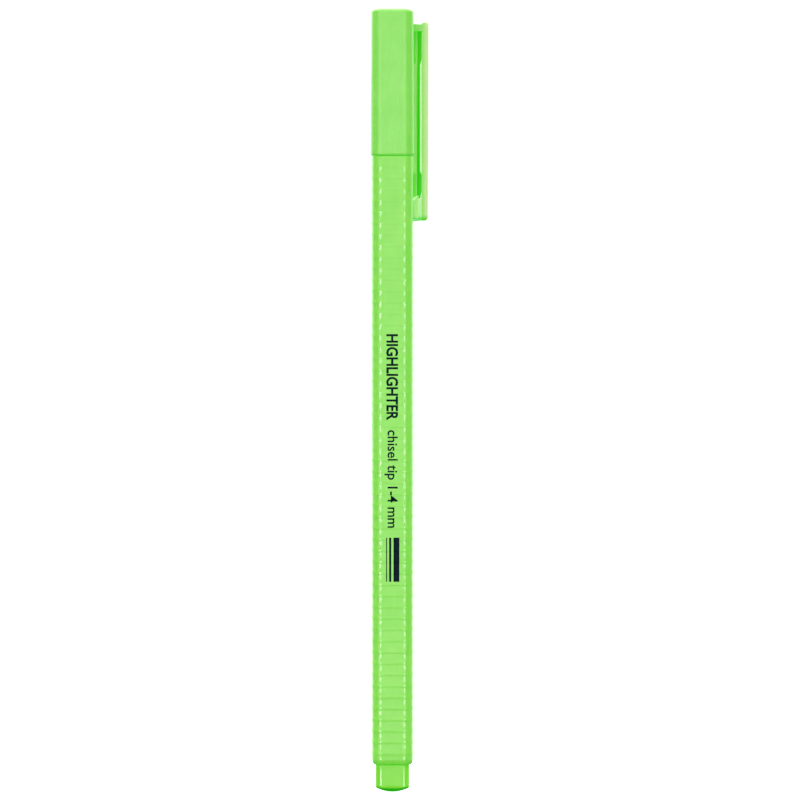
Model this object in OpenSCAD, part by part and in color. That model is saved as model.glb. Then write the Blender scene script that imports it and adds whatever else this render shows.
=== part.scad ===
// A slim three-sided highlighter: ribbed barrel, end plug, ink reservoir, chisel nib,
// push-on cap with an inner seal, and a pocket clip.
// The pen's axis is Z. The origin is the tip of the tail and the cap is at the top.
// The flat front face looks towards -Y, and the clip stands on the right rear face.

/* [Body] */
// Overall length, from the tail's tip to the top of the cap
total_len = 160; // [150:1:175]
// Distance from the axis to the centre of each rounded corner
corner_d = 2.5; // [2.4:0.02:2.7]
// Corner radius of the barrel
barrel_r = 2.04; // [1.98:0.02:2.2]
// Wall of the barrel at the middle of a face
barrel_wall = 0.8; // [0.75:0.05:0.9]
// Height of the bevel at the barrel's tail end
bevel_h = 1.3; // [0.8:0.1:2]
// How far the bevel draws the barrel in
bevel_in = 0.6; // [0.4:0.05:0.65]

/* [Grip ribs] */
// Number of raised rings along the barrel
rib_count = 53; // [20:1:53]
// Distance from one ring to the next
rib_pitch = 2.3; // [1.6:0.05:2.3]
// Length of a ring along the barrel
rib_len = 0.5; // [0.2:0.1:1]
// Height of a ring above the barrel
rib_h = 0.05; // [0.03:0.01:0.1]

/* [End plug] */
// Length of the plug that shows below the barrel
plug_len = 5.65; // [4:0.05:8]
// Length of the plug inside the barrel
plug_spigot = 4; // [3:0.5:6]
// Radius of the plug's domed end
plug_dome_r = 7.9; // [6:0.1:20]

/* [Front section] */
// How far the neck and the plug stand in from the barrel's outside
neck_step = 0.7; // [0.65:0.01:0.73]
// Length of the neck that the cap pushes onto
neck_len = 8; // [6:0.5:9]
// Length of the straight part of the nose
nose_len = 4; // [3:0.5:5]
// Length of the tapered part of the nose
cone_len = 5.5; // [4:0.5:7]
// Radius at the nose's tip
cone_tip_r = 1.95; // [1.8:0.05:2]

/* [Nib and reservoir] */
// Radius of the nib
nib_r = 1.6; // [1.4:0.05:1.65]
// How far the nib stands out of the nose
nib_out = 5.4; // [4:0.2:6]
// Angle of the chisel cut from level
chisel_angle = 50; // [40:1:55]
// Thickness of the film round the reservoir
film_t = 0.05; // [0.03:0.01:0.06]

/* [Cap] */
// Length of the cap
cap_len = 30.1; // [29:0.05:34]
// How far the cap stands out from the barrel
cap_proud = 0.27; // [0.2:0.01:0.4]
// Height of the cap's crowned top
crown_h = 0.8; // [0.4:0.1:1.2]
// How far in from the cap's outside the crown reaches its full height
crown_in = 2.1; // [1.2:0.1:2.1]
// Thickness of the cap's top at the axis
cap_top_t = 1.6; // [1.4:0.1:2.4]
// Running clearance between the cap and the neck
cap_gap = 0.05; // [0.03:0.01:0.09]

/* [Clip] */
// Width of the clip
clip_w = 4.1; // [3.6:0.1:4.4]
// Length of the clip
clip_len = 40.6; // [36:0.2:44]
// Depth of the clip's side walls
clip_depth = 1.64; // [1.4:0.02:1.8]
// Distance from the axis to the clip's outer face at its top
clip_out = 7.34; // [7:0.02:7.8]
// How much closer to the barrel the outer face is at its lower end
clip_lean = 0.15; // [0:0.01:0.3]
// Thickness of the clip's outer wall
clip_web = 0.6; // [0.5:0.05:0.8]
// Thickness of the clip's side walls
clip_side = 0.7; // [0.5:0.05:0.9]

/* [Hidden] */

corner_angles = [-30, 90, 210];
clip_angle = 30;
eps = 0.01;
// How far a cutting shape runs past the solid that it cuts
over = 1;
round_fn = 96;

// Heights of the joints along the axis
joint_gap = 0.05;
cap_z = total_len - cap_len;
barrel_z1 = cap_z - joint_gap;
neck_z1 = barrel_z1 + neck_len;
nose_z1 = neck_z1 + nose_len;
tip_z = nose_z1 + cone_len;
nib_z1 = tip_z + nib_out;

// Corner radii of the nested three-sided sections, which all share corner_d
bore_r = barrel_r - barrel_wall;
neck_r = barrel_r - neck_step;
cap_r = barrel_r + cap_proud;
cavity_r = neck_r + cap_gap;
mid_face = corner_d / 2;

// Reservoir and the nib's tail inside it
spigot_len = 8;
spigot_z = barrel_z1 - spigot_len;
core_z0 = plug_len + plug_spigot;
core_r = mid_face + bore_r - film_t - 0.02;
tail_r = 1.1;
tail_depth = 5;
tail_fit = 0.02;
step_z = spigot_z + 4;

// Inner cup of the cap
liner_overlap = 2.8;
liner_wall = 0.4;
liner_top = 3;
cavity_z1 = total_len - cap_top_t;
liner_r = mid_face + cavity_r - 0.025;
seal_gap = 0.05;
nose_r = liner_r - liner_wall - seal_gap;

// Heights and depths of the clip's features
clip_z1 = total_len - 2.6;
clip_z0 = clip_z1 - clip_len;
bridge_z1 = clip_z1 - 0.45;
bridge_z0 = bridge_z1 - 1.35;
bridge_gap = 0.03;
wall_in = clip_out - clip_depth;
end_slope = 0.3;
window_in = wall_in + end_slope;
foot_z1 = clip_z0 + 4.6;
rail_z0 = clip_z0 + 9.1;
rail_z1 = bridge_z0 - 6.1;
nose_w = 1.3;
nose_gap = 0.4;

function dir(a) = [cos(a), sin(a)];

// Points of an arc round c, from angle a0 to angle a1
function arc(c, r, a0, a1, n = 8) = [for (i = [0:n]) c + r * dir(a0 + (a1 - a0) * i / n)];

// Rounded triangle whose three corner arcs have radius r. The arcs run two degrees past
// the tangent, so that each flat meets them at a clean edge.
module section(r) {
    half_arc = 62;
    for (a = corner_angles) {
        translate(corner_d * dir(a)) circle(r, $fn = round_fn);
    }
    polygon([
        for (a = corner_angles, side = [-half_arc, half_arc])
            corner_d * dir(a) + r * dir(a + side)
    ]);
}

// Three-sided bar from z0 to z1
module bar(r, z0, z1) {
    translate([0, 0, z0]) linear_extrude(z1 - z0) section(r);
}

// Round bar from z0 to z1
module rod(r, z0, z1) {
    translate([0, 0, z0]) cylinder(h = z1 - z0, r = r, $fn = round_fn);
}

// Round body of height h that stands on a dome of radius r, with its tip at z = 0
module dome(r, reach, h) {
    spread = asin(reach / r);
    rotate_extrude($fn = round_fn) polygon(concat(
        arc([0, r], r, -90, -90 + spread),
        [[reach, h], [0, h]]
    ));
}

module barrel() {
    rib_inset = 2.2;
    rib_z1 = barrel_z1 - rib_inset;
    color([0.56, 0.88, 0.40]) difference() {
        union() {
            bar(barrel_r, plug_len + bevel_h, barrel_z1);
            tail_bevel();
            for (i = [0:rib_count - 1]) {
                z = rib_z1 - i * rib_pitch;
                bar(barrel_r + rib_h, z - rib_len / 2, z + rib_len / 2);
            }
        }
        bar(bore_r, plug_len - over, barrel_z1 + over);
    }
}

// The barrel's bevelled end, which meets the plug
module tail_bevel() {
    step = 0.02;
    hull() {
        bar(barrel_r - bevel_in, plug_len, plug_len + eps);
        bar(barrel_r - step, plug_len + bevel_h, plug_len + bevel_h + eps);
    }
}

module end_plug() {
    wall = 0.6;
    floor_t = 2;
    color([0.53, 0.87, 0.36]) difference() {
        union() {
            intersection() {
                bar(neck_r, -over, plug_len);
                dome(plug_dome_r, corner_d + neck_r + over, plug_len + over);
            }
            bar(bore_r, plug_len, core_z0);
        }
        bar(bore_r - wall, floor_t, core_z0 + over);
    }
}

module reservoir_core() {
    color([0.80, 0.93, 0.45]) difference() {
        rod(core_r, core_z0, spigot_z);
        rod(tail_r + tail_fit, spigot_z - tail_depth, spigot_z + over);
    }
}

module reservoir_film() {
    color([0.88, 0.96, 0.82]) difference() {
        rod(core_r + film_t, core_z0, spigot_z);
        rod(core_r, core_z0 - over, spigot_z + over);
    }
}

module nib_holder() {
    color([0.93, 0.95, 0.92]) difference() {
        union() {
            bar(bore_r, spigot_z, barrel_z1);
            bar(neck_r, barrel_z1, neck_z1);
            rod(nose_r, neck_z1, nose_z1);
            translate([0, 0, nose_z1]) {
                cylinder(h = cone_len, r1 = nose_r, r2 = cone_tip_r, $fn = round_fn);
            }
        }
        rod(nib_r, spigot_z - over, tip_z + over);
        air_grooves();
    }
}

// Channels beside the nib that let air back to the reservoir
module air_grooves() {
    groove_w = 0.4;
    groove_d = 0.2;
    groove_z0 = spigot_z - over;
    groove_z1 = neck_z1 + 1;
    for (a = corner_angles) {
        rotate(a) translate([0, -groove_w / 2, groove_z0]) {
            cube([nib_r + groove_d, groove_w, groove_z1 - groove_z0]);
        }
    }
}

module nib() {
    color([0.72, 0.93, 0.22]) difference() {
        union() {
            rod(tail_r, spigot_z - tail_depth, step_z);
            rod(nib_r, step_z, nib_z1);
        }
        chisel_cut();
        rotate(180) chisel_back();
    }
}

// Half-space above a plane that passes through the origin and tilts up towards +X
module above_plane(tilt) {
    reach = 5;
    rotate([0, -tilt, 0]) translate([-reach, -reach, 0]) {
        cube([4 * reach, 2 * reach, 2 * reach]);
    }
}

// Space above the slanted writing face, which rises towards +X
module chisel_cut() {
    shoulder = 0.4;
    heel_z = nib_z1 - shoulder - 2 * nib_r * tan(chisel_angle);
    translate([-nib_r, 0, heel_z]) above_plane(chisel_angle);
}

// Small flat that blunts the nib's highest edge
module chisel_back() {
    blunt = 0.5;
    back_tilt = 65;
    translate([-nib_r + blunt, 0, nib_z1]) above_plane(back_tilt);
}

module cap() {
    color([0.58, 0.90, 0.44]) difference() {
        union() {
            bar(cap_r, cap_z, total_len - crown_h);
            cap_crown();
        }
        bar(cavity_r, cap_z - over, cavity_z1);
    }
}

// Top of the cap, which rises from its sides along a quarter ellipse
module cap_crown() {
    hull() {
        for (t = [0:18:90]) {
            z = total_len - crown_h * (1 - sin(t));
            bar(cap_r - crown_in * (1 - cos(t)), z - eps, z);
        }
    }
}

module cap_liner() {
    rim_z = nose_z1 - liner_overlap;
    color([0.90, 0.93, 0.90]) difference() {
        rod(liner_r, rim_z, cavity_z1);
        rod(liner_r - liner_wall, rim_z - over, cavity_z1 - liner_top);
    }
}

// Extrudes a side view drawn in (distance from axis, height) to the width w
module side_view(w) {
    rotate(clip_angle) rotate([90, 0, 0]) linear_extrude(w, center = true) children();
}

module clip() {
    color([0.64, 0.91, 0.50]) {
        difference() {
            side_view(clip_w) clip_outline();
            side_view(clip_w - 2 * clip_side) {
                clip_channel();
                clip_notch();
            }
        }
        side_view(nose_w) clip_nose();
    }
}

// Bridge, arm and foot of the clip seen from the side
module clip_outline() {
    foot_r = 0.9;
    low_out = clip_out - clip_lean;
    half_depth = clip_depth / 2;
    crest = clip_z1 - bridge_z1;
    polygon(concat(
        [[mid_face + cap_r + bridge_gap, bridge_z0], [mid_face + cap_r + bridge_gap, bridge_z1]],
        [for (a = [180:-15:0])
            [wall_in + half_depth * (1 + cos(a)), bridge_z1 + crest * sin(a)]],
        arc([low_out - foot_r, clip_z0 + foot_r], foot_r, 0, -90),
        [[wall_in, clip_z0], [wall_in, foot_z1], [window_in, foot_z1 + end_slope]],
        [[window_in, rail_z0], [wall_in, rail_z0 + end_slope]],
        [[wall_in, rail_z1 - end_slope], [window_in, rail_z1], [window_in, bridge_z0]]
    ));
}

// Hollow between the clip's side walls
module clip_channel() {
    open_in = wall_in - over;
    low_web = clip_out - clip_lean - clip_web;
    polygon([
        [open_in, foot_z1], [low_web, foot_z1],
        [clip_out - clip_web, bridge_z0], [open_in, bridge_z0]
    ]);
}

// Dip between the rounded tops of the clip's side walls
module clip_notch() {
    translate([wall_in - over, bridge_z1]) square([clip_depth + 2 * over, 2 * over]);
}

// Nose on the foot that grips a pocket's edge
module clip_nose() {
    nose_in = mid_face + barrel_r + rib_h + nose_gap;
    tip_r = 0.6;
    tip_x = nose_in + tip_r;
    tip_inset = [1, 1.4];
    root_inset = [0.2, -0.7];
    polygon(concat(
        [[wall_in + eps, foot_z1 - root_inset[1]]],
        arc([tip_x, foot_z1 - tip_inset[1]], tip_r, 150, 180, 3),
        arc([tip_x, clip_z0 + tip_inset[0]], tip_r, 180, 260),
        [[wall_in + eps, clip_z0 + root_inset[0]]]
    ));
}

barrel();
end_plug();
reservoir_core();
reservoir_film();
nib_holder();
nib();
cap();
cap_liner();
clip();
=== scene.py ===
"""A slim three-sided highlighter: smooth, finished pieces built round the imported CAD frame.

Sizes here are in millimetres and become metres where a mesh is made. The pen's axis is Z,
the tail's tip is the origin, and the flat front face looks towards -Y.
"""

import math

import bmesh
import bpy
from mathutils import Matrix, Vector


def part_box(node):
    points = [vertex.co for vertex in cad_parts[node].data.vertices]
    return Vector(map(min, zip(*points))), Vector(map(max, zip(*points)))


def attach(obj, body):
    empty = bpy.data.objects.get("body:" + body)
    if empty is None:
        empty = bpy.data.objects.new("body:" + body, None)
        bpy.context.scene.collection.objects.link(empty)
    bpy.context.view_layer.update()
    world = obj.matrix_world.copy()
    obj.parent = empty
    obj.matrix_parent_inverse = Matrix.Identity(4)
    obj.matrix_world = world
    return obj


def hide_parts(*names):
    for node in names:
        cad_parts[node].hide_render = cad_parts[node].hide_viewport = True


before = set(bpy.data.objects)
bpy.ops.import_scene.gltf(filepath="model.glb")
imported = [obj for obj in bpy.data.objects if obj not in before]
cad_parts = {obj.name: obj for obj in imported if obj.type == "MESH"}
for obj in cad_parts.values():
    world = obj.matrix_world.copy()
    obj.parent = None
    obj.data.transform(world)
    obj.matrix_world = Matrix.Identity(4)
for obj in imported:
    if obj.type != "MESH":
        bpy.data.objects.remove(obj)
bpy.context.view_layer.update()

MM = 0.001

# ---------------------------------------------------------------- driving dimensions

CORNER_D = 2.5
CORNERS = (-30, 90, 210)
FLAT_D = CORNER_D / 2
CLIP_ANGLE = 30

RIB_COUNT = 53
RIB_PITCH = 2.3
RIB_H = 0.05
RIB_INSET = 2.2
# Height of a rib, as a share of RIB_H, at each distance from its middle
RIB_PROFILE = ((-0.55, 0), (-0.35, 0.5), (-0.12, 1), (0.12, 1), (0.35, 0.5), (0.55, 0))

BARREL_WALL = 0.8
BEVEL_H = 1.2
BEVEL_IN = 0.6
SHOULDER = 0.35

PLUG_LEN = 5.65
PLUG_DOME_R = 7.9
PLUG_EDGE = 0.3
PLUG_FLOOR = 2.0
PLUG_WALL = 0.6

NECK_LEN = 8.0
NOSE_LEN = 4.0
NOSE_R = 2.165
CONE_TIP_R = 1.95
NIB_R = 1.6
CHISEL_ANGLE = 50
BACK_ANGLE = 65

CROWN_H = 0.8
CROWN_IN = 2.1
CAP_DRAFT = 0.13
CAP_CAVITY_GAP = 0.05
CAP_TOP_T = 1.6
LINER_WALL = 0.4
LINER_TOP = 3.0

CLIP_W = 4.1
CLIP_SIDE = 0.7
CLIP_WEB = 0.6
CLIP_DEPTH = 1.64
CLIP_LEAN = 0.15
CLIP_FOOT = 4.6
CLIP_NOSE_W = 1.3


def span(node):
    """Lowest and highest corner of a CAD node, in millimetres."""
    low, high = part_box(node)
    return low / MM, high / MM


def corner_radius(node):
    """Corner radius of a three-sided CAD node, from how far it reaches along X."""
    return span(node)[1].x - CORNER_D * math.cos(math.radians(30))


barrel_r = corner_radius("barrel") - RIB_H
bore_r = barrel_r - BARREL_WALL
neck_r = corner_radius("end_plug")
cap_r = corner_radius("cap")
cavity_r = neck_r + CAP_CAVITY_GAP
barrel_z0 = span("barrel")[0].z
barrel_z1 = span("barrel")[1].z
cap_z0 = span("cap")[0].z
cap_z1 = span("cap")[1].z
clip_z0 = span("clip")[0].z
clip_z1 = span("clip")[1].z
clip_foot_z1 = clip_z0 + CLIP_FOOT
clip_tilt = math.radians(CLIP_ANGLE)
clip_out = (span("clip")[1].x - CLIP_W / 2 * math.sin(clip_tilt)) / math.cos(clip_tilt)
clip_wall_in = clip_out - CLIP_DEPTH
top_rib_z = barrel_z1 - RIB_INSET


# ---------------------------------------------------------------- rings and lofts

def direction(angle):
    """Unit vector in the XY plane at an angle in degrees."""
    return Vector((math.cos(math.radians(angle)), math.sin(math.radians(angle))))


# The clip's own directions: away from the pen's axis, across its width, and along the pen
OUTWARD = (*direction(CLIP_ANGLE), 0)
ACROSS = (*direction(CLIP_ANGLE - 90), 0)
UP = (0, 0, 1)


def section(r, corner_steps=20, flat_steps=8):
    """Points round the three-sided section whose corners have radius r."""
    arcs = []
    for corner in CORNERS:
        centre = CORNER_D * direction(corner)
        turns = [corner - 60 + 120 * i / corner_steps for i in range(corner_steps + 1)]
        arcs.append([centre + r * direction(turn) for turn in turns])
    points = []
    for arc_now, arc_next in zip(arcs, arcs[1:] + arcs[:1]):
        points += arc_now
        for i in range(1, flat_steps):
            points.append(arc_now[-1].lerp(arc_next[0], i / flat_steps))
    return points


def tri(r, z):
    """Ring of the three-sided section at height z."""
    return [Vector((p.x, p.y, z)) for p in section(r)]


def disc(r, z):
    """Round ring whose points lie at the same angles as a three-sided ring's."""
    return [Vector((r * p.x / p.length, r * p.y / p.length, z)) for p in section(1)]


def scaled(ring, share, height):
    """A ring drawn in towards the axis, with each point's height given by a function."""
    points = []
    for p in ring:
        q = Vector((p.x * share, p.y * share, 0))
        q.z = height(q.x, q.y)
        points.append(q)
    return points


def fillet(r_from, z_from, r_to, z_to, steps=5, first="z"):
    """(r, z) pairs along a quarter ellipse that leaves along z or along r first."""
    pairs = []
    for i in range(steps + 1):
        t = math.radians(90 * i / steps)
        along, across = math.sin(t), 1 - math.cos(t)
        if first == "z":
            pairs.append((r_from + (r_to - r_from) * across, z_from + (z_to - z_from) * along))
        else:
            pairs.append((r_from + (r_to - r_from) * along, z_from + (z_to - z_from) * across))
    return pairs


def make_object(name, bm):
    """Turns a bmesh in millimetres into a linked object in metres."""
    bmesh.ops.recalc_face_normals(bm, faces=bm.faces)
    mesh = bpy.data.meshes.new(name)
    bm.to_mesh(mesh)
    bm.free()
    mesh.transform(Matrix.Scale(MM, 4))
    piece = bpy.data.objects.new(name, mesh)
    bpy.context.scene.collection.objects.link(piece)
    return piece


def smooth(piece, angle=32):
    """Smooth shading with sharp edges kept, and normals that favour the large faces."""
    piece.data.shade_smooth()
    piece.data.set_sharp_from_angle(angle=math.radians(angle))
    weighted = piece.modifiers.new("weighted_normals", "WEIGHTED_NORMAL")
    weighted.keep_sharp = True
    return piece


def loft(name, rings, start=None, end=None):
    """Skins rings of equal length. Each end closes on a pole, or the two ends join up."""
    bm = bmesh.new()
    rows = [[bm.verts.new(p) for p in ring] for ring in rings]
    count = len(rows[0])
    pairs = list(zip(rows, rows[1:]))
    if start is None:
        pairs.append((rows[-1], rows[0]))
    for low, high in pairs:
        for i in range(count):
            j = (i + 1) % count
            bm.faces.new((low[i], low[j], high[j], high[i]))
    for pole, row in ((start, rows[0]), (end, rows[-1])):
        if pole is not None:
            tip = bm.verts.new(pole)
            for i in range(count):
                bm.faces.new((tip, row[i], row[(i + 1) % count]))
    return smooth(make_object(name, bm))


# ---------------------------------------------------------------- materials

class Shader:
    """One material's node tree, with coordinates in millimetres."""

    def __init__(self, name):
        self.material = bpy.data.materials.new(name)
        self.material.use_nodes = True
        self.tree = self.material.node_tree
        self.bsdf = self.tree.nodes["Principled BSDF"]
        coords = self.add("ShaderNodeTexCoord")
        mapping = self.add("ShaderNodeMapping")
        mapping.inputs["Scale"].default_value = (1 / MM, 1 / MM, 1 / MM)
        self.link(coords.outputs["Object"], mapping.inputs["Vector"])
        self.place = mapping.outputs["Vector"]
        self.facing = coords.outputs["Normal"]

    def add(self, kind, **settings):
        node = self.tree.nodes.new(kind)
        for key, value in settings.items():
            setattr(node, key, value)
        return node

    def link(self, source, target):
        self.tree.links.new(source, target)

    def set(self, **values):
        """Sets the shader's own sockets; an underscore in a name stands for a space."""
        for key, value in values.items():
            self.bsdf.inputs[key.replace("_", " ")].default_value = value

    def noise(self, scale, detail=2.0, stretch=(1, 1, 1), shift=0.0):
        """Noise with so many cells a millimetre, drawn out where the stretch is small."""
        mapping = self.add("ShaderNodeMapping")
        mapping.inputs["Scale"].default_value = stretch
        mapping.inputs["Location"].default_value = (shift, shift, shift)
        self.link(self.place, mapping.inputs["Vector"])
        node = self.add("ShaderNodeTexNoise")
        node.inputs["Scale"].default_value = scale
        node.inputs["Detail"].default_value = detail
        self.link(mapping.outputs["Vector"], node.inputs["Vector"])
        return node.outputs["Fac"]

    def ramp(self, factor, stops):
        """Colour ramp of (position, grey or colour) stops."""
        node = self.add("ShaderNodeValToRGB")
        elements = node.color_ramp.elements
        while len(elements) < len(stops):
            elements.new(0.5)
        for element, (position, value) in zip(elements, stops):
            element.position = position
            grey = isinstance(value, (int, float))
            element.color = (value, value, value, 1) if grey else (*value, 1)
        self.link(factor, node.inputs["Fac"])
        return node.outputs["Color"]

    def mix(self, factor, a, b):
        """Colour that goes from a to b as the factor goes from 0 to 1."""
        node = self.add("ShaderNodeMix", data_type="RGBA", blend_type="MIX")
        self.feed(node.inputs[0], factor)
        self.feed(node.inputs[6], a)
        self.feed(node.inputs[7], b)
        return node.outputs[2]

    def feed(self, socket, value):
        """Links a socket to a node's output, or sets it to a number or a colour."""
        if isinstance(value, bpy.types.NodeSocket):
            self.link(value, socket)
        elif isinstance(value, tuple):
            socket.default_value = (*value, 1)
        else:
            socket.default_value = value

    def maths(self, operation, a, b):
        """Result of a sum on two outputs or numbers."""
        node = self.add("ShaderNodeMath", operation=operation)
        self.feed(node.inputs[0], a)
        self.feed(node.inputs[1], b)
        return node.outputs[0]

    def along(self, vector, axis, low, high):
        """Mask that rises from 0 to 1 as a vector's part along an axis passes low to high."""
        dot = self.add("ShaderNodeVectorMath", operation="DOT_PRODUCT")
        self.link(vector, dot.inputs[0])
        dot.inputs[1].default_value = axis
        node = self.add("ShaderNodeMapRange", interpolation_type="SMOOTHSTEP")
        self.link(dot.outputs["Value"], node.inputs["Value"])
        node.inputs["From Min"].default_value = low
        node.inputs["From Max"].default_value = high
        return node.outputs["Result"]

    def both(self, *masks):
        """Mask that is white only where all of the masks are."""
        result = masks[0]
        for mask in masks[1:]:
            result = self.maths("MULTIPLY", result, mask)
        return result

    def bump(self, layers):
        """Chains (height, distance in millimetres) layers into the shader's normal."""
        normal = None
        for height, distance in layers:
            node = self.add("ShaderNodeBump")
            node.inputs["Strength"].default_value = 1.0
            node.inputs["Distance"].default_value = distance * MM
            self.link(height, node.inputs["Height"])
            if normal is not None:
                self.link(normal, node.inputs["Normal"])
            normal = node.outputs["Normal"]
        self.link(normal, self.bsdf.inputs["Normal"])

    def edges(self, low, high):
        """Mask that is white along raised edges."""
        geometry = self.add("ShaderNodeNewGeometry")
        return self.ramp(geometry.outputs["Pointiness"], ((low, 0), (high, 1)))


def opposite(axis):
    """The same axis the other way round."""
    return tuple(-c for c in axis)


def clip_painted_light(s):
    """Painted light and shade on the clip's thin walls: (mask, colour, glow) of each zone.

    The outer sides, the inner sides and the edges towards the pen get a painted pale glow for
    light through the thin walls. The hollow and the foot's end get painted deep green shade,
    and the bridge is painted a little paler.
    """
    def depth(low, high):
        """Mask by the distance outwards from the walls' inner edges."""
        return s.along(s.place, OUTWARD, clip_wall_in + low, clip_wall_in + high)

    def wall_faces(outer, low, high):
        """Mask of both side walls' outer or inner faces, by their place across the clip."""
        masks = []
        for axis in (ACROSS, opposite(ACROSS)):
            wall = axis if outer else opposite(axis)
            faces = s.along(s.facing, axis, 0.6, 0.9)
            masks.append(s.both(faces, s.along(s.place, wall, low, high)))
        return s.maths("ADD", *masks)

    # Painted light: the outer sides are pale, for light shining through the thin walls from
    # behind.
    outer_sides_painted_backlight = s.both(wall_faces(True, 1.6, 1.9), depth(-0.7, 1.7))
    # Painted light: the inner faces of the side walls are pale, for light inside the channel.
    inner_sides_painted_light = s.both(wall_faces(False, 1.0, 1.2), depth(-0.5, -0.1))
    # Painted glow: the edges and faces towards the pen are pale and glow whiter.
    inner_edges_painted_glow = s.both(s.along(s.facing, opposite(OUTWARD), 0.5, 0.8), depth(0.28, 0.10))
    # Painted shade: the hollow's floor is deep green, darker towards the foot.
    hollow = s.both(s.along(s.facing, opposite(OUTWARD), 0.85, 0.95), depth(0.10, 0.28))
    up_the_clip = s.along(s.place, UP, clip_z0 + 5.2, clip_z1 - 9.4)
    hollow_shade_tone = s.mix(up_the_clip, (0.06, 0.26, 0.005), (0.14, 0.27, 0.02))
    # Painted shade: the foot's lower end is deep green.
    foot_end_painted_shade = s.along(s.place, UP, clip_z0 + 1.3, clip_z0 + 0.1)
    # Painted highlight: the bridge near the cap is a little paler than the rest.
    bridge_painted_highlight = s.both(s.along(s.place, UP, clip_z1 - 2.8, clip_z1 - 2.0), depth(0.2, -0.3))
    # Painted shade also takes most of the reflection out of the hollow.
    s.link(s.ramp(hollow, ((0, 0.5), (1, 0.05))), s.bsdf.inputs["Specular IOR Level"])
    # Each zone's painted colour and painted glow
    return (
        (outer_sides_painted_backlight, (0.58, 0.50, 0.36), (0.08, 0.88, 0.04)),
        (inner_sides_painted_light, (0.58, 0.46, 0.32), (0.10, 0.90, 0.05)),
        (inner_edges_painted_glow, (0.62, 0.58, 0.50), (0.34, 0.90, 0.26)),
        (hollow, hollow_shade_tone, (0.0, 0.95, 0.0)),
        (foot_end_painted_shade, (0.07, 0.28, 0.01), (0.0, 0.95, 0.0)),
        (bridge_painted_highlight, (0.30, 0.38, 0.15), (0.0, 1.0, 0.0)),
    )


def tail_painted_shade(s):
    """Painted shade on the plug's underside: faces near the tip that point down are darker."""
    underside_painted_shade = s.both(s.along(s.facing, opposite(UP), 0.15, 0.6), s.along(s.place, UP, 2.0, 1.0))
    return ((underside_painted_shade, (0.03, 0.16, 0.01), (0.0, 0.8, 0.0)),)


# Painted glow: the green plastics give off light of their own at this strength, with or without
# a lamp, for their fluorescence.
FLUORESCENT_GLOW = 0.39


def moulded_plastic(name, colour, deep, glow, roughness, waviness, painted_zones=None):
    """Fluorescent moulded plastic: clouded pigment, flow lines, fine scratches, worn edges, a
    painted glow, and any zones of painted light and shade.
    """
    s = Shader(name)
    cloud = s.noise(0.22, detail=3)
    flow = s.noise(0.8, detail=4, stretch=(1, 1, 0.06), shift=7)
    tone = s.mix(s.ramp(cloud, ((0.3, 0), (0.7, 1))), deep, colour)
    streaked = s.mix(s.ramp(flow, ((0.35, 0), (0.65, 0.35))), tone, colour)
    worn = tuple(min(1, c * 1.08 + 0.03) for c in colour)
    patches = s.ramp(s.noise(1.6, detail=5), ((0.45, 0), (0.65, 0.5)))
    wear = s.both(s.edges(0.52, 0.60), patches)
    base, light = s.mix(wear, streaked, worn), glow
    # Painted light and shade: each zone swaps in its own colour and glow.
    for mask, painted_colour, painted_glow in painted_zones(s) if painted_zones else ():
        base = s.mix(mask, base, painted_colour)
        light = s.mix(mask, light, painted_glow)
    s.link(base, s.bsdf.inputs["Base Color"])

    hazy = s.noise(0.35, detail=5, shift=3)
    haze = s.ramp(hazy, ((0.3, roughness * 0.85), (0.7, roughness * 1.2)))
    scratch = s.noise(9, detail=2, stretch=(1, 1, 0.03), shift=11)
    scuffed = s.mix(s.ramp(scratch, ((0.60, 0), (0.72, 0.4))), haze, (0.5, 0.5, 0.5))
    s.link(scuffed, s.bsdf.inputs["Roughness"])

    grain = s.noise(14, detail=3)
    s.bump((
        (s.noise(0.5, detail=2, stretch=(1, 1, 0.12), shift=5), waviness),
        (scratch, 0.0003),
        (grain, 0.0002),
    ))
    s.set(IOR=1.49, Subsurface_Weight=0.35, Subsurface_Scale=0.8 * MM)
    s.set(Subsurface_Radius=(0.35, 1.0, 0.25))
    s.set(Emission_Strength=FLUORESCENT_GLOW)
    s.feed(s.bsdf.inputs["Emission Color"], light)
    return s.material


def natural_plastic(name):
    """White, slightly translucent moulded plastic of the nib holder and the inner cap."""
    s = Shader(name)
    cloud = s.noise(0.6, detail=4)
    base = s.mix(s.ramp(cloud, ((0.3, 0), (0.7, 1))), (0.74, 0.79, 0.72), (0.86, 0.89, 0.84))
    tint = s.ramp(s.noise(0.9, detail=5, shift=4), ((0.62, 0), (0.75, 0.35)))
    s.link(s.mix(tint, base, (0.66, 0.86, 0.42)), s.bsdf.inputs["Base Color"])
    s.link(s.ramp(s.noise(3, detail=4), ((0.3, 0.36), (0.7, 0.5))), s.bsdf.inputs["Roughness"])
    s.bump(((s.noise(6, detail=4), 0.004), (s.noise(0.8, detail=1), 0.01)))
    s.set(IOR=1.5, Subsurface_Weight=0.4, Subsurface_Scale=0.9 * MM)
    s.set(Subsurface_Radius=(1.0, 1.0, 0.9))
    return s.material


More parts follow.
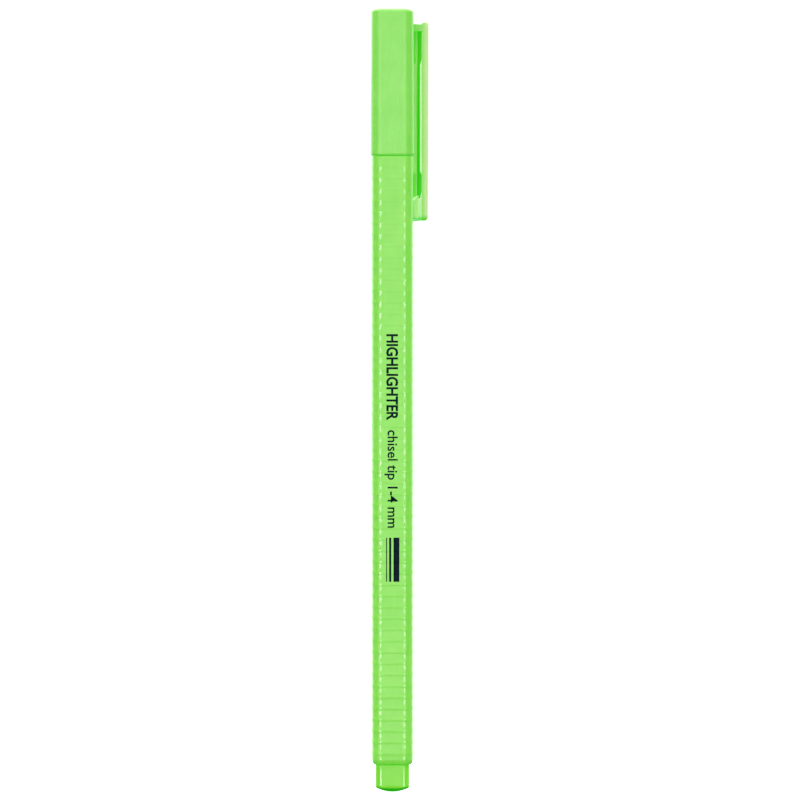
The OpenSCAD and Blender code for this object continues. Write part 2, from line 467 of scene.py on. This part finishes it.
def soaked_fibre(name, colour, deep, along):
    """Bonded fibre full of ink, with the fibres lying along the pen."""
    s = Shader(name)
    fibres = s.noise(6, detail=6, stretch=(1, 1, along))
    blotch = s.noise(0.8, detail=3, shift=2)
    strands = s.mix(s.ramp(fibres, ((0.35, 0), (0.65, 1))), deep, colour)
    soaked = s.mix(s.ramp(blotch, ((0.4, 0), (0.7, 0.4))), strands, deep)
    s.link(soaked, s.bsdf.inputs["Base Color"])
    s.link(s.ramp(fibres, ((0.3, 0.55), (0.7, 0.9))), s.bsdf.inputs["Roughness"])
    s.bump(((fibres, 0.05), (s.noise(18, detail=2, shift=9), 0.015)))
    s.set(Sheen_Weight=0.25, Sheen_Roughness=0.5)
    # Painted glow: the ink-soaked fibre gives off a faint green light of its own, for the ink's
    # fluorescence.
    s.set(Emission_Color=(0.35, 0.8, 0.02, 1), Emission_Strength=0.15)
    return s.material


def clear_film(name):
    """Thin clear wrap round the reservoir, with length-wise creases."""
    s = Shader(name)
    crease = s.noise(1.4, detail=5, stretch=(1, 1, 0.08))
    s.link(s.mix(crease, (0.80, 0.90, 0.72), (0.90, 0.96, 0.84)), s.bsdf.inputs["Base Color"])
    s.link(s.ramp(crease, ((0.3, 0.08), (0.7, 0.25))), s.bsdf.inputs["Roughness"])
    s.bump(((crease, 0.02),))
    s.set(IOR=1.45, Transmission_Weight=0.5, Alpha=0.6)
    return s.material


def print_ink(name):
    """Dark pad-printed ink: slightly uneven, thinner in places, with a satin surface."""
    s = Shader(name)
    cover = s.ramp(s.noise(3.5, detail=6), ((0.35, 0), (0.75, 1)))
    ink = s.mix(cover, (0.001, 0.006, 0.010), (0.002, 0.016, 0.022))
    s.link(ink, s.bsdf.inputs["Base Color"])
    s.link(s.ramp(s.noise(8, detail=3), ((0.3, 0.38), (0.7, 0.55))), s.bsdf.inputs["Roughness"])
    s.bump(((s.noise(22, detail=3), 0.0005),))
    s.set(Specular_IOR_Level=0.04)
    return s.material


def floor_finish(name):
    """Plain pale studio floor with a faint mottle."""
    s = Shader(name)
    mottle = s.noise(0.01, detail=4)
    s.link(s.mix(mottle, (0.93, 0.93, 0.93), (0.96, 0.96, 0.96)), s.bsdf.inputs["Base Color"])
    s.set(Roughness=0.9, Emission_Color=(1, 1, 1, 1), Emission_Strength=0.9)
    s.bump(((s.noise(0.4, detail=4), 0.02),))
    return s.material


barrel_green = moulded_plastic(
    "barrel_green", (0.27, 0.36, 0.10), (0.23, 0.32, 0.08), (0.0, 1.0, 0.0), 0.18, 0.008
)
# The plug's green, with painted shade on its underside.
plug_green_painted_shade = moulded_plastic(
    "plug_green_painted_shade", (0.22, 0.33, 0.04), (0.19, 0.30, 0.03), (0.0, 1.0, 0.0), 0.15, 0.008,
    painted_zones=tail_painted_shade,
)
cap_green = moulded_plastic(
    "cap_green", (0.26, 0.35, 0.11), (0.23, 0.32, 0.09), (0.0, 1.0, 0.0), 0.22, 0.03
)
# The cap's green again, with painted light and shade in the clip's zones.
clip_green_painted_light = moulded_plastic(
    "clip_green_painted_light", (0.26, 0.35, 0.11), (0.23, 0.32, 0.09), (0.0, 1.0, 0.0), 0.22, 0.01,
    painted_zones=clip_painted_light,
)
# Painted highlight: the nose is a paler copy of the green plastic with a whiter glow.
nose_painted_highlight = moulded_plastic(
    "nose_painted_highlight", (0.50, 0.50, 0.30), (0.45, 0.46, 0.26), (0.06, 0.95, 0.04), 0.22, 0.01
)
natural_white = natural_plastic("natural_white")
felt = soaked_fibre("nib_felt", (0.50, 0.86, 0.05), (0.34, 0.70, 0.02), 0.12)
fibre = soaked_fibre("ink_fibre", (0.66, 0.90, 0.16), (0.42, 0.72, 0.06), 0.03)
film = clear_film("clear_film")
navy = print_ink("navy_ink")


def finish_piece(piece, material, body, slot, *nodes):
    """Gives a piece its material and its body, and hides the CAD nodes that it stands for. The
    slot is not used.
    """
    piece.data.materials.clear()
    piece.data.materials.append(material)
    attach(piece, body)
    if nodes:
        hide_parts(*nodes)
    return piece


# ---------------------------------------------------------------- barrel and plug

def rib_height(z):
    """Height of the ribbed surface above the barrel's plain surface at height z."""
    index = round((top_rib_z - z) / RIB_PITCH)
    if not 0 <= index < RIB_COUNT:
        return 0.0
    offset = z - (top_rib_z - index * RIB_PITCH)
    for (z_a, h_a), (z_b, h_b) in zip(RIB_PROFILE, RIB_PROFILE[1:]):
        if z_a <= offset <= z_b:
            return RIB_H * (h_a + (h_b - h_a) * (offset - z_a) / (z_b - z_a))
    return 0.0


def build_barrel():
    """Ribbed three-sided tube with a bevelled tail end and a small shoulder."""
    lip = 0.08
    bevel_z1 = barrel_z0 + BEVEL_H
    outer = fillet(barrel_r - BEVEL_IN, barrel_z0, barrel_r, bevel_z1, first="r", steps=7)
    outer = [(barrel_r - BEVEL_IN - lip, barrel_z0)] + outer[1:]
    for i in reversed(range(RIB_COUNT)):
        middle = top_rib_z - i * RIB_PITCH
        for offset, share in RIB_PROFILE:
            outer.append((barrel_r + RIB_H * share, middle + offset))
    outer += fillet(barrel_r, barrel_z1 - SHOULDER, barrel_r - SHOULDER, barrel_z1, steps=6)
    inner = [(bore_r + lip, barrel_z1), (bore_r, barrel_z1 - lip)]
    inner += [(bore_r, barrel_z0 + lip), (bore_r + lip / 2, barrel_z0)]
    return loft("barrel_shell", [tri(r, z) for r, z in outer + inner])


def build_plug():
    """Domed plug. Its dome's edge is rounder on the flats, which lie nearer the axis."""
    dome_steps = 12
    edge_steps = 6
    groove = 0.14
    chamfer = 0.2
    side_z = (1.6, 3.4)
    plug_z1 = span("end_plug")[1].z
    spigot_r = bore_r - 0.02
    hollow_r = bore_r - PLUG_WALL
    widest = CORNER_D + neck_r

    def dome(x, y):
        return PLUG_DOME_R - math.sqrt(PLUG_DOME_R ** 2 - x * x - y * y)

    outline = tri(neck_r, 0)
    rings = [scaled(outline, i / dome_steps, dome) for i in range(1, dome_steps - 3)]
    for i in range(edge_steps + 1):
        t = i / edge_steps
        ring = []
        for p in outline:
            reach = Vector((p.x, p.y)).length
            edge = PLUG_EDGE + 0.5 * (widest - reach)
            corner_z = dome(p.x, p.y)
            inner = p * (1 - edge / reach)
            inner.z = dome(inner.x, inner.y)
            corner = Vector((p.x, p.y, corner_z))
            upper = Vector((p.x, p.y, corner_z + edge))
            ring.append(inner * (1 - t) ** 2 + corner * 2 * t * (1 - t) + upper * t * t)
        rings.append(ring)
    sides = [(neck_r, z) for z in side_z]
    sides += fillet(neck_r, PLUG_LEN - 0.24, neck_r - groove, PLUG_LEN - 0.02, steps=4)
    sides += [(spigot_r, PLUG_LEN), (spigot_r, plug_z1 - 0.3)]
    sides += [(bore_r - chamfer, plug_z1), (hollow_r, plug_z1)]
    sides += [(hollow_r, PLUG_FLOOR + chamfer), (hollow_r - chamfer, PLUG_FLOOR)]
    rings += [tri(r, z) for r, z in sides]
    return loft("tail_plug", rings, start=(0, 0, 0), end=(0, 0, PLUG_FLOOR))


finish_piece(build_barrel(), barrel_green, "pen_body", "barrel_plastic", "barrel")
finish_piece(build_plug(), plug_green_painted_shade, "pen_body", "barrel_plastic", "end_plug")


# ---------------------------------------------------------------- nib holder, nib, reservoir

def build_nib_holder():
    """Tube with a three-sided spigot and neck, a round nose and a tapering mouth."""
    z_spigot = span("nib_holder")[0].z
    z_neck = barrel_z1 + NECK_LEN
    z_nose = z_neck + NOSE_LEN
    z_tip = span("nib_holder")[1].z
    bead_z = barrel_z1 + 3.2
    bead_h = 0.025
    spigot_r = bore_r - 0.01
    nib_bore_r = NIB_R + 0.005
    lip = 0.12

    tube = [tri(spigot_r, z_spigot), tri(spigot_r, barrel_z1 - 0.02)]
    tube += [tri(neck_r - 0.1, barrel_z1), tri(neck_r, barrel_z1 + 0.1)]
    for offset, height in ((-0.3, 0), (-lip, bead_h), (lip, bead_h), (0.3, 0)):
        tube.append(tri(neck_r + height, bead_z + offset))
    tube += [tri(r, z) for r, z in fillet(neck_r, z_neck - 0.5, neck_r - 0.35, z_neck, steps=5)]
    tube += [disc(NOSE_R + lip, z_neck), disc(NOSE_R, z_neck + lip)]
    tube += [disc(NOSE_R, z_nose - 0.3), disc(NOSE_R - 0.01, z_nose + 0.3)]
    mouth = fillet(CONE_TIP_R, z_tip - lip, CONE_TIP_R - lip, z_tip, steps=4)
    tube += [disc(r, z) for r, z in mouth]
    tube += [disc(NIB_R + 0.08, z_tip), disc(nib_bore_r, z_tip - lip)]
    tube.append(disc(nib_bore_r, z_spigot))
    return loft("front_holder", tube)


def build_nib():
    """Round nib with a chisel end: two slopes that meet in a slightly blunt ridge."""
    z_low = span("nib")[0].z
    z_high = span("nib")[1].z
    z_step = span("nib_holder")[0].z + 4
    rise = math.tan(math.radians(CHISEL_ANGLE))
    fall = math.tan(math.radians(BACK_ANGLE))
    ridge_x = 1.4
    blend = 0.18
    tail_r = 1.1
    plain_z1 = z_high - 3.9
    slope_steps = 12
    rim_share = 0.985

    def top(x, y):
        front = z_high - (ridge_x - x) * rise
        back = z_high - (x - ridge_x) * fall
        share = max(blend - abs(front - back), 0) / blend
        return min(front, back) - share * share * blend / 4

    outline = disc(NIB_R, 0)
    rings = [disc(tail_r - 0.1, z_low), disc(tail_r, z_low + 0.1), disc(tail_r, z_step - 0.05)]
    rings += [disc(NIB_R - 0.05, z_step), disc(NIB_R, z_step + 0.1)]
    rings += [disc(NIB_R, plain_z1 - drop) for drop in (2.4, 1.2, 0)]
    for share, drop in ((1, 0.16), (rim_share, 0.05)):
        rings.append(
            [Vector((p.x * share, p.y * share, top(p.x, p.y) - drop)) for p in outline])
    rings += [scaled(outline, i / slope_steps, top) for i in range(slope_steps - 1, 0, -1)]
    return loft("chisel_nib", rings, start=(0, 0, z_low), end=(0, 0, top(0, 0)))


finish_piece(build_nib_holder(), natural_white, "pen_body", "holder_plastic", "nib_holder")
finish_piece(build_nib(), felt, "pen_body", "nib_felt", "nib")
for node, material in (("reservoir_core", fibre), ("reservoir_film", film)):
    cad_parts[node].data.materials.clear()
    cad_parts[node].data.materials.append(material)


# ---------------------------------------------------------------- cap and liner

def build_cap():
    """Shell with a crowned top, whose sides widen by CAP_DRAFT on the way down."""
    rim = 0.42
    draft_steps = 12
    crown_r = cap_r - CROWN_IN
    side_z1, side_z0 = cap_z1 - CROWN_H, cap_z0 + rim
    rings = [scaled(tri(crown_r, 0), share, lambda x, y: cap_z1) for share in (0.33, 0.66)]
    crown = fillet(crown_r, cap_z1, cap_r - CAP_DRAFT, side_z1, steps=14, first="r")
    rings += [tri(r, z) for r, z in crown]
    for i in range(1, draft_steps + 1):
        share = i / draft_steps
        z = side_z1 + (side_z0 - side_z1) * share
        rings.append(tri(cap_r - CAP_DRAFT * (1 - share), z))
    lip = [(cap_r - 0.03, side_z0 - 0.1), (cap_r - 0.14, cap_z0 + 0.08), (cap_r - 0.24, cap_z0)]
    cavity = [(cavity_r + 0.12, cap_z0), (cavity_r, cap_z0 + 0.15)]
    cavity.append((cavity_r, cap_z1 - CAP_TOP_T))
    rings += [tri(r, z) for r, z in lip + cavity]
    return loft("cap_shell", rings, start=(0, 0, cap_z1), end=(0, 0, cap_z1 - CAP_TOP_T))


def build_liner():
    """Inner cup of the cap that closes over the nib holder's nose."""
    low, high = span("cap_liner")
    outer_r = high.x
    inner_r = outer_r - LINER_WALL
    ceiling = high.z - LINER_TOP
    pairs = [(outer_r, high.z), (outer_r, low.z + 0.15), (outer_r - 0.08, low.z)]
    pairs += [(inner_r + 0.12, low.z), (inner_r, low.z + 0.3), (inner_r, ceiling - 0.4)]
    pairs += fillet(inner_r, ceiling - 0.4, inner_r - 0.4, ceiling, steps=4)[1:]
    rings = [disc(r, z) for r, z in pairs]
    return loft("seal_cup", rings, start=(0, 0, high.z), end=(0, 0, ceiling))


finish_piece(build_cap(), cap_green, "cap_body", "cap_plastic", "cap")
finish_piece(build_liner(), natural_white, "cap_body", "holder_plastic", "cap_liner")


# ---------------------------------------------------------------- clip

def clip_point(out, across, z):
    """Point at a distance from the axis along the clip's direction, and across its width."""
    return Vector(OUTWARD) * out + Vector(ACROSS) * across + Vector(UP) * z


def arc(centre, r, start, end, steps=8):
    """(out, z) points of an arc in the clip's side view."""
    points = []
    for i in range(steps + 1):
        ray = direction(start + (end - start) * i / steps)
        points.append((centre[0] + r * ray.x, centre[1] + r * ray.y))
    return points


def plate(bm, profile, levels):
    """Closed prism of a side-view profile between two places across the clip's width."""
    rows = []
    for across in levels:
        rows.append([bm.verts.new(clip_point(out, across, z)) for out, z in profile])
    count = len(profile)
    for i in range(count):
        j = (i + 1) % count
        bm.faces.new((rows[0][i], rows[0][j], rows[1][j], rows[1][i]))
    for row in rows:
        bm.faces.new(row)


def round_edges(piece, width, segments, method="ANGLE"):
    """Rounds the sharp edges, or the weighted ones, by a width in millimetres."""
    bevel = piece.modifiers.new("round_" + method.lower(), "BEVEL")
    bevel.width = width * MM
    bevel.segments = segments
    bevel.limit_method = method
    bevel.angle_limit = math.radians(30)
    bevel.harden_normals = False


def weight_outer_edges(piece, reach_limit):
    """Weights the long edges of the clip's outer face, which are rounded the most."""
    mesh = piece.data
    weights = mesh.attributes.new("bevel_weight_edge", "FLOAT", "EDGE")
    for edge in mesh.edges:
        ends = [mesh.vertices[v].co / MM for v in edge.vertices]
        reach = [p.dot(Vector(OUTWARD)) for p in ends]
        offset = [p.dot(Vector(ACROSS)) for p in ends]
        at_side = all(abs(abs(t) - CLIP_W / 2) < 0.01 for t in offset)
        same_side = abs(offset[0] - offset[1]) < 0.01
        outer = min(reach) > reach_limit and at_side and same_side
        weights.data[edge.index].value = 1.0 if outer else 0.0


def build_clip():
    """The clip as four side-view rows across its width, with a hollow between the inner two.

    The two outer rows carry the crest and the plain wall edges. The two inner rows dip between
    the crests, and their wall edges slope back beside the two openings.
    """
    crest = 0.45
    crest_steps = 10
    foot_r = 0.9
    slope = 0.6
    root = 0.5
    undercut = 0.25
    relief = 0.02
    low_out = clip_out - CLIP_LEAN
    wall_in = clip_wall_in
    window_in = wall_in + slope
    relief_in = wall_in + relief
    bridge_z1 = clip_z1 - crest
    bridge_z0 = bridge_z1 - 1.35
    foot_z1 = clip_foot_z1
    rail_z0 = clip_z0 + 9.1
    rail_z1 = bridge_z0 - 6.1
    half_depth = CLIP_DEPTH / 2
    sunk_in = FLAT_D + cap_r - CAP_DRAFT - 0.1

    inner_edge = [
        (wall_in, foot_z1), (window_in, foot_z1 + 0.5), (window_in, rail_z0 + 0.5),
        (wall_in, rail_z0 + 1.1), (wall_in, rail_z1 - 0.8), (window_in, rail_z1 - 0.3),
        (window_in, bridge_z0),
    ]
    outer_edge = [
        (wall_in, foot_z1 + 1.0), (relief_in, foot_z1 + 1.4), (relief_in, rail_z0 - 0.2),
        (wall_in, rail_z0 + 0.2), (wall_in, rail_z1), (relief_in, rail_z1 + 0.4),
        (relief_in, bridge_z0),
    ]
    outside = [(sunk_in, bridge_z0 - undercut), (sunk_in, bridge_z1 + root)]
    outside += arc((sunk_in + 0.1 + root, bridge_z1 + root), root, 180, 270, 5)
    crest_first = len(outside)
    for turn in arc((0, 0), 1, 180, 0, crest_steps):
        outside.append((wall_in + half_depth * (1 + turn[0]), bridge_z1 + crest * turn[1]))
    crest_last = len(outside) - 1
    outside += arc((low_out - foot_r, clip_z0 + foot_r), foot_r, 0, -90)
    outside.append((wall_in, clip_z0))
    under_root = arc((sunk_in + 0.35, bridge_z0 - undercut), undercut, 90, 180, 3)[:-1]
    outline = outside + inner_edge + under_root
    first, last = len(outside), len(outside) + len(inner_edge) - 1

    web = [(low_out - CLIP_WEB, foot_z1), (clip_out - CLIP_WEB, bridge_z0)]
    levels = (-CLIP_W / 2, -CLIP_W / 2 + CLIP_SIDE, CLIP_W / 2 - CLIP_SIDE, CLIP_W / 2)

    bm = bmesh.new()
    rows = []
    for k, across in enumerate(levels):
        row = list(outline)
        if k in (1, 2):
            for i in range(crest_first, crest_last + 1):
                row[i] = (outline[i][0], bridge_z1)
        else:
            row[first:last + 1] = outer_edge
        rows.append([bm.verts.new(clip_point(out, across, z)) for out, z in row])
    hollow = []
    for across in levels[1:3]:
        hollow.append([bm.verts.new(clip_point(out, across, z)) for out, z in web])
    count = len(outline)
    for i in range(count):
        j = (i + 1) % count
        for low, high in ((0, 1), (1, 2), (2, 3)):
            if low == 1 and first <= i < last:
                continue
            bm.faces.new((rows[low][i], rows[low][j], rows[high][j], rows[high][i]))
    bm.faces.new(rows[0])
    bm.faces.new(rows[3])
    for row, corners in zip(rows[1:3], hollow):
        edge = [row[k] for k in range(last, first, -1)]
        bm.faces.new([row[first], corners[0], corners[1]] + edge)
    near = [rows[1][first], hollow[0][0], hollow[0][1], rows[1][last]]
    far = [rows[2][first], hollow[1][0], hollow[1][1], rows[2][last]]
    for k in range(3):
        bm.faces.new((near[k], near[k + 1], far[k + 1], far[k]))
    piece = make_object("pocket_clip", bm)
    weight_outer_edges(piece, low_out - foot_r)
    round_edges(piece, 0.32, 4, "WEIGHT")
    round_edges(piece, 0.07, 2)
    return smooth(piece, 40)


def build_clip_nose():
    """The rounded nose inside the clip's foot that grips a pocket's edge."""
    tip_r = 0.6
    sunk = 0.15
    tip_out = FLAT_D + barrel_r + RIB_H + 0.4 + tip_r
    profile = [(clip_wall_in + sunk, clip_foot_z1 + 0.6)]
    profile += arc((tip_out, clip_foot_z1 - 1.4), tip_r, 150, 180, 4)
    profile += arc((tip_out, clip_z0 + 1.3), tip_r, 180, 260)
    profile.append((clip_wall_in + sunk, clip_z0 + 0.4))
    bm = bmesh.new()
    plate(bm, profile, (-CLIP_NOSE_W / 2, CLIP_NOSE_W / 2))
    piece = make_object("clip_nose", bm)
    round_edges(piece, 0.1, 3)
    return smooth(piece, 40)


finish_piece(build_clip(), clip_green_painted_light, "clip_arm", "cap_plastic", "clip")
finish_piece(build_clip_nose(), nose_painted_highlight, "clip_arm", "cap_plastic")


# ---------------------------------------------------------------- printed legend

LEGEND_TOP_Z = 93.6
SECOND_LINE_DOWN = 19.6
LEGEND_LINES = (
    # words, size, boldness, narrowing, upper end's z, middle's x
    ("HIGHLIGHTER", 3.2, 0.09, 0.86, LEGEND_TOP_Z, -1.15),
    ("chisel tip 1-4 mm", 2.88, 0.04, 1.0, LEGEND_TOP_Z - SECOND_LINE_DOWN, -0.95),
)
BAR_Z = (43.0, 52.0)
BAR_X = ((-1.3, -1.1), (-0.7, -0.25), (0.2, 1.4))
INK_LIFT = 0.006
INK_T = 0.01


def text_mesh(words, size, boldness, narrow, start_z, middle_x):
    """Flat text that reads down the pen, with the letters' tops towards +X."""
    curve = bpy.data.curves.new("legend_text", "FONT")
    curve.body = words
    curve.size = size
    curve.offset = boldness
    curve.resolution_u = 4
    curve.fill_mode = "BOTH"
    holder = bpy.data.objects.new("legend_text", curve)
    bpy.context.scene.collection.objects.link(holder)
    bpy.context.view_layer.update()
    mesh = bpy.data.meshes.new_from_object(holder)
    bpy.data.objects.remove(holder)
    bpy.data.curves.remove(curve)
    turn = Matrix(((0, 1, 0, middle_x), (0, 0, -1, 0), (-narrow, 0, 0, start_z), (0, 0, 0, 1)))
    mesh.transform(turn)
    return mesh


def bar_mesh(bm, x_low, x_high, z_low, z_high):
    """Flat bar of the legend that shows the width of a stroke."""
    corners = ((x_low, z_low), (x_high, z_low), (x_high, z_high), (x_low, z_high))
    bm.faces.new([bm.verts.new((x, 0, z)) for x, z in corners])


def build_legend():
    """A generic legend in place of the maker's print, laid over the ribs of the front face."""
    bm = bmesh.new()
    for words, size, boldness, narrow, start_z, middle_x in LEGEND_LINES:
        mesh = text_mesh(words, size, boldness, narrow, start_z, middle_x)
        bm.from_mesh(mesh)
        bpy.data.meshes.remove(mesh)
    for x_low, x_high in BAR_X:
        bar_mesh(bm, x_low, x_high, *BAR_Z)
    bmesh.ops.triangulate(bm, faces=bm.faces)
    for i in range(RIB_COUNT):
        middle = top_rib_z - i * RIB_PITCH
        if not BAR_Z[0] - RIB_PITCH < middle < LEGEND_TOP_Z + RIB_PITCH:
            continue
        for offset, _ in RIB_PROFILE:
            everything = bm.verts[:] + bm.edges[:] + bm.faces[:]
            bmesh.ops.bisect_plane(
                bm, geom=everything, plane_co=(0, 0, middle + offset), plane_no=(0, 0, 1)
            )
    face_y = -(FLAT_D + barrel_r)
    for vert in bm.verts:
        vert.co.y = face_y - rib_height(vert.co.z) - INK_LIFT
    piece = make_object("printed_legend", bm)
    thickness = piece.modifiers.new("ink_thickness", "SOLIDIFY")
    thickness.thickness = INK_T * MM
    thickness.offset = -1
    return piece


finish_piece(build_legend(), navy, "pen_body", "barrel_plastic")


# ---------------------------------------------------------------- stage, light, camera

CAMERA_LENS = 200
SENSOR = 36
VIEW_WIDTH = 163.62
VIEW_CENTRE = (1.53, 80.05)
FLOOR_R = 3000
FRONT_LIGHT = (-0.10, -0.99, 0.08)
FRONT_LEVEL = 2.15
SIDE_LEVEL = 0.12
BACK_LEVEL = 2.5
TOP_LEVEL = 2.2
STRIP_LEVEL = 14.0
RIGHT_LEVEL = 0.7
BACKDROP_LEVEL = 1.05


def build_floor():
    """A floor that gives its own light, and is seen by the camera alone."""
    bm = bmesh.new()
    bmesh.ops.create_circle(bm, cap_ends=True, radius=FLOOR_R, segments=96)
    floor = make_object("studio_floor", bm)
    floor.data.materials.append(floor_finish("studio_floor_finish"))
    floor.visible_diffuse = False
    floor.visible_glossy = False
    floor.visible_shadow = False


def build_world():
    """White surroundings for the camera, and a soft studio tent for the light itself.

    The tent is a front, a back and a top light that fade out below. Two narrow strips in
    front and a faint panel on the right lie below the horizon, so only the lower barrel
    shows them.
    """
    world = bpy.data.worlds.new("studio")
    world.use_nodes = True
    bpy.context.scene.world = world
    tree = world.node_tree
    tree.nodes.clear()

    def add(kind, **inputs):
        node = tree.nodes.new(kind)
        for key, value in inputs.items():
            node.inputs[key.replace("_", " ")].default_value = value
        return node

    def band(factor, start, end, at_start, at_end):
        """Level that goes smoothly from one value to another between start and end."""
        node = tree.nodes.new("ShaderNodeMapRange")
        node.interpolation_type = "SMOOTHSTEP"
        stops = {"From Min": start, "From Max": end, "To Min": at_start, "To Max": at_end}
        for key, value in stops.items():
            node.inputs[key].default_value = value
        tree.links.new(factor, node.inputs["Value"])
        return node.outputs["Result"]

    def maths(operation, a, b=0.0):
        node = tree.nodes.new("ShaderNodeMath")
        node.operation = operation
        tree.links.new(a, node.inputs[0])
        if isinstance(b, bpy.types.NodeSocket):
            tree.links.new(b, node.inputs[1])
        else:
            node.inputs[1].default_value = b
        return node.outputs[0]

    def product(first, *others):
        for other in others:
            first = maths("MULTIPLY", first, other)
        return first

    ray = add("ShaderNodeTexCoord").outputs["Generated"]
    front = tree.nodes.new("ShaderNodeVectorMath")
    front.operation = "DOT_PRODUCT"
    front.inputs[1].default_value = FRONT_LIGHT
    tree.links.new(ray, front.inputs[0])
    parts = add("ShaderNodeSeparateXYZ")
    tree.links.new(ray, parts.inputs["Vector"])
    x, y, z = (parts.outputs[axis] for axis in "XYZ")

    front_light = band(front.outputs["Value"], 0.72, 0.88, SIDE_LEVEL, FRONT_LEVEL)
    back_light = band(y, 0.0, 0.45, SIDE_LEVEL, BACK_LEVEL)
    top_light = band(z, 0.45, 0.75, 0.0, TOP_LEVEL)
    not_below = band(z, -0.30, -0.10, 0.0, 1.0)
    tent = maths("MAXIMUM", maths("MAXIMUM", front_light, back_light), top_light)
    tent = product(tent, not_below)

    aside = maths("ABSOLUTE", x)
    strips = product(
        band(aside, 0.10, 0.17, 0.0, 1.0),
        band(aside, 0.36, 0.50, 1.0, 0.0),
        band(y, -0.78, -0.68, 1.0, 0.0),
        band(z, -0.07, 0.02, 1.0, 0.0),
        band(z, -0.21, -0.15, 0.0, 1.0),
        band(x, -0.1, 0.1, 1.3, 1.0),
        STRIP_LEVEL,
    )
    right_panel = product(
        band(x, 0.80, 0.94, 0.0, 1.0),
        band(z, -0.02, 0.02, 1.0, 0.0),
        band(z, -0.26, -0.20, 0.0, 1.0),
        RIGHT_LEVEL,
    )
    level = maths("ADD", maths("ADD", tent, strips), right_panel)

    lit = add("ShaderNodeBackground")
    tree.links.new(level, lit.inputs["Strength"])
    plain = add("ShaderNodeBackground", Color=(1, 1, 1, 1), Strength=BACKDROP_LEVEL)
    path = add("ShaderNodeLightPath")
    pick = add("ShaderNodeMixShader")
    output = add("ShaderNodeOutputWorld")
    tree.links.new(path.outputs["Is Camera Ray"], pick.inputs["Fac"])
    tree.links.new(lit.outputs[0], pick.inputs[1])
    tree.links.new(plain.outputs[0], pick.inputs[2])
    tree.links.new(pick.outputs[0], output.inputs["Surface"])


def build_camera():
    data = bpy.data.cameras.new("camera")
    data.lens = CAMERA_LENS
    data.sensor_width = SENSOR
    camera = bpy.data.objects.new("camera", data)
    bpy.context.scene.collection.objects.link(camera)
    distance = VIEW_WIDTH * CAMERA_LENS / SENSOR
    camera.location = Vector((VIEW_CENTRE[0], -distance, VIEW_CENTRE[1])) * MM
    camera.rotation_euler = (math.radians(90), 0, 0)
    data.clip_start = 0.01
    data.clip_end = 50
    bpy.context.scene.camera = camera


build_floor()
build_world()
build_camera()
bpy.context.scene.view_settings.view_transform = "Standard"
